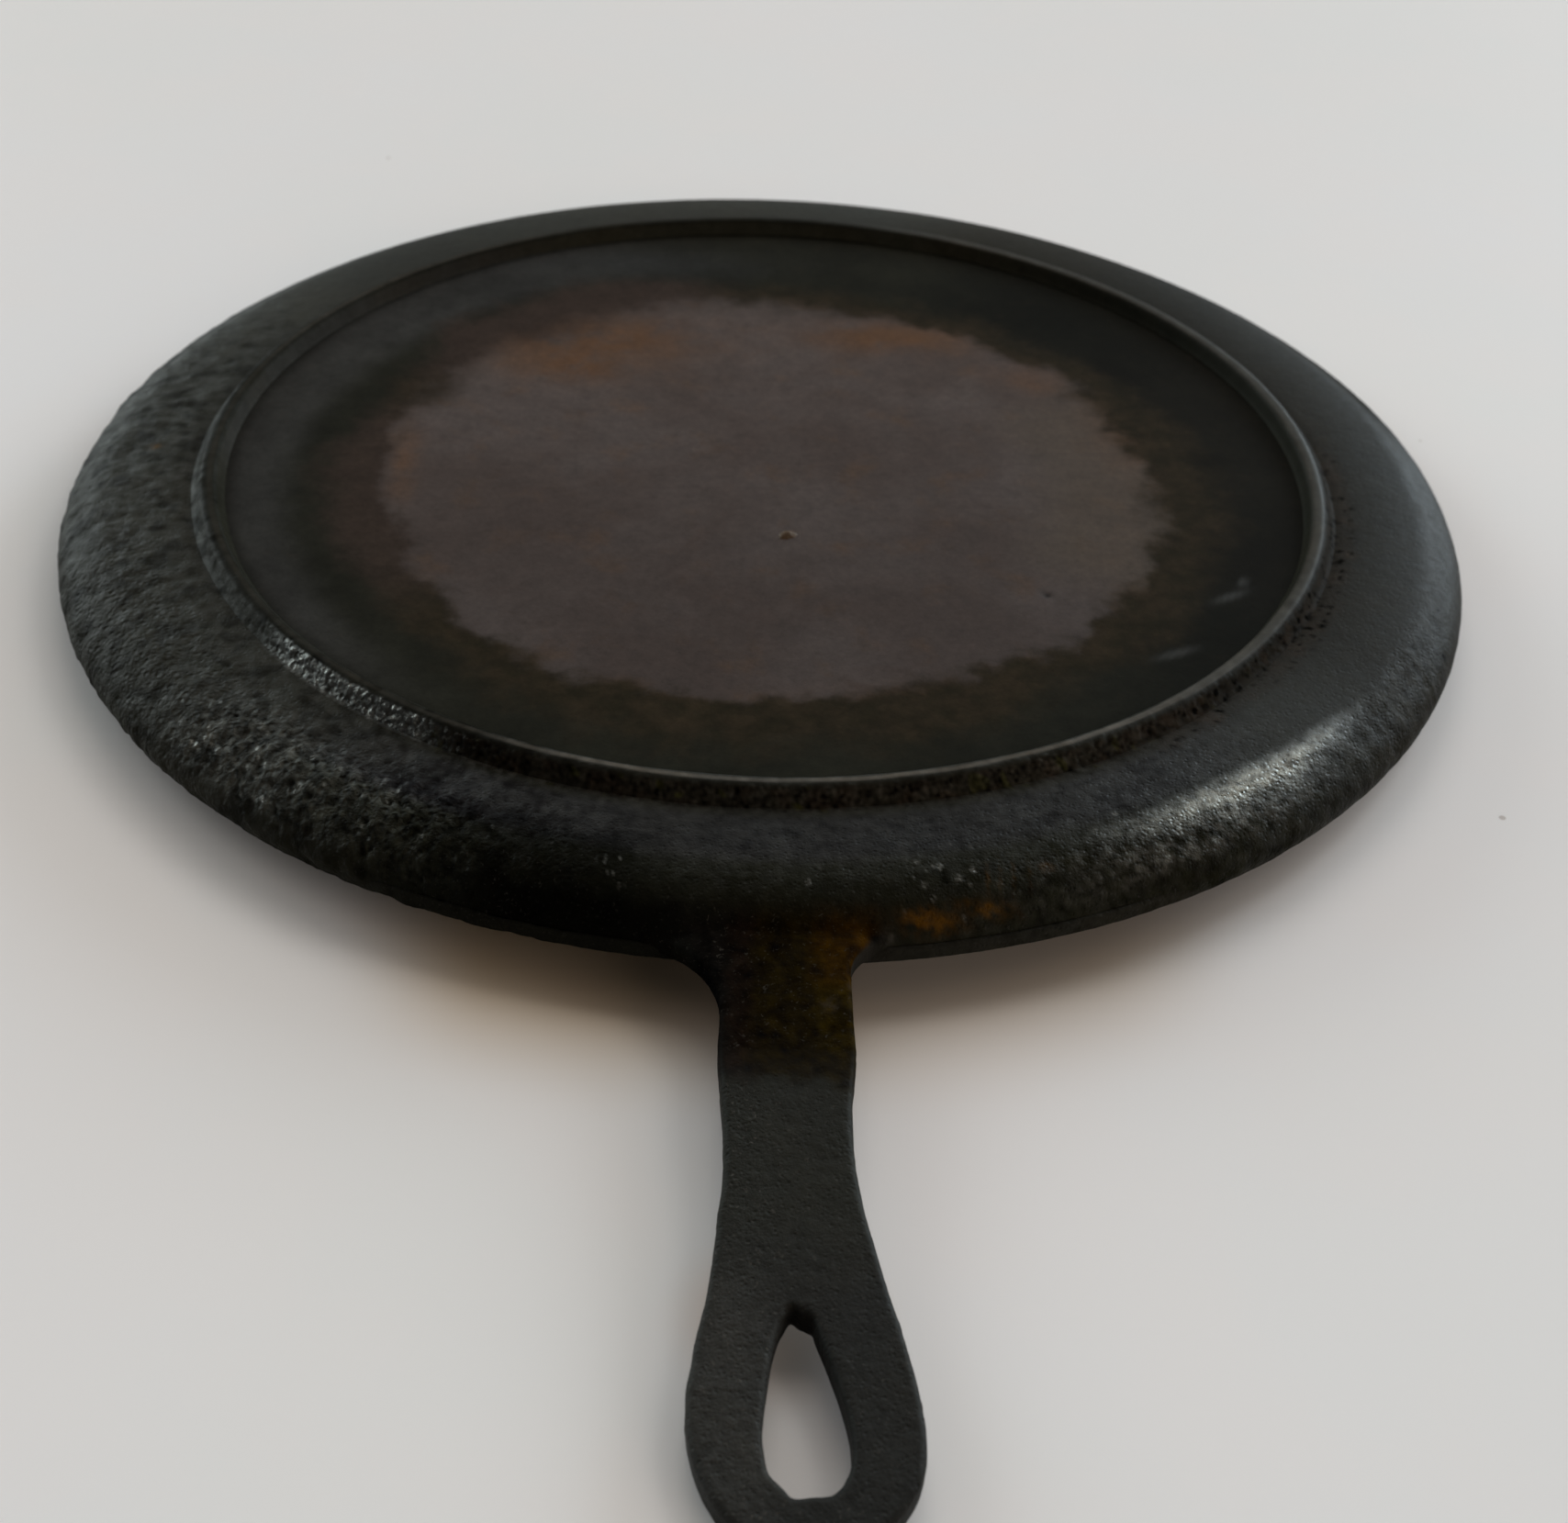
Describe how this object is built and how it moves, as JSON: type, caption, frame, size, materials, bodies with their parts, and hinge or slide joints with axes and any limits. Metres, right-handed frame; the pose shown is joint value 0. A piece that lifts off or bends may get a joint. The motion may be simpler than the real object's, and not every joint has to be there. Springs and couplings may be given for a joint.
{
  "type": "cast iron skillet",
  "caption": "Shallow round cast iron skillet lying face down, with a raised heat ring on its underside and a flat waisted handle ending in a teardrop hanging hole.",
  "frame": {"origin": "centre of the plane of the rim, on the pan's axis, level with the rim's outer face", "axes": "+Z comes out of the underside of the pan, so the pan lies face down as it is stored and as it was seen; the handle runs along -Y and dips to -Z; a half turn about X sets it the way it cooks"},
  "size_m": [0.3, 0.4118, 0.0262],
  "materials": {
    "worn_base": "worn, greyish brown in the middle and black outside",
    "ring_iron": "black seasoning, worn lighter along the crest",
    "seasoned_wall": "black seasoning, satin, rough and pitted in places",
    "stained_root": "black iron with amber baked oil",
    "handle_iron": "matt, fine sand texture"
  },
  "bodies": {
    "root": {"base_plate": "worn_base", "heat_ring": "ring_iron", "casting_nub": "worn_base", "side_wall": "seasoned_wall", "rim_band": "seasoned_wall", "handle_root": "stained_root", "handle_neck": "handle_iron", "handle_eye": "handle_iron"}
  },
  "joints": []
}
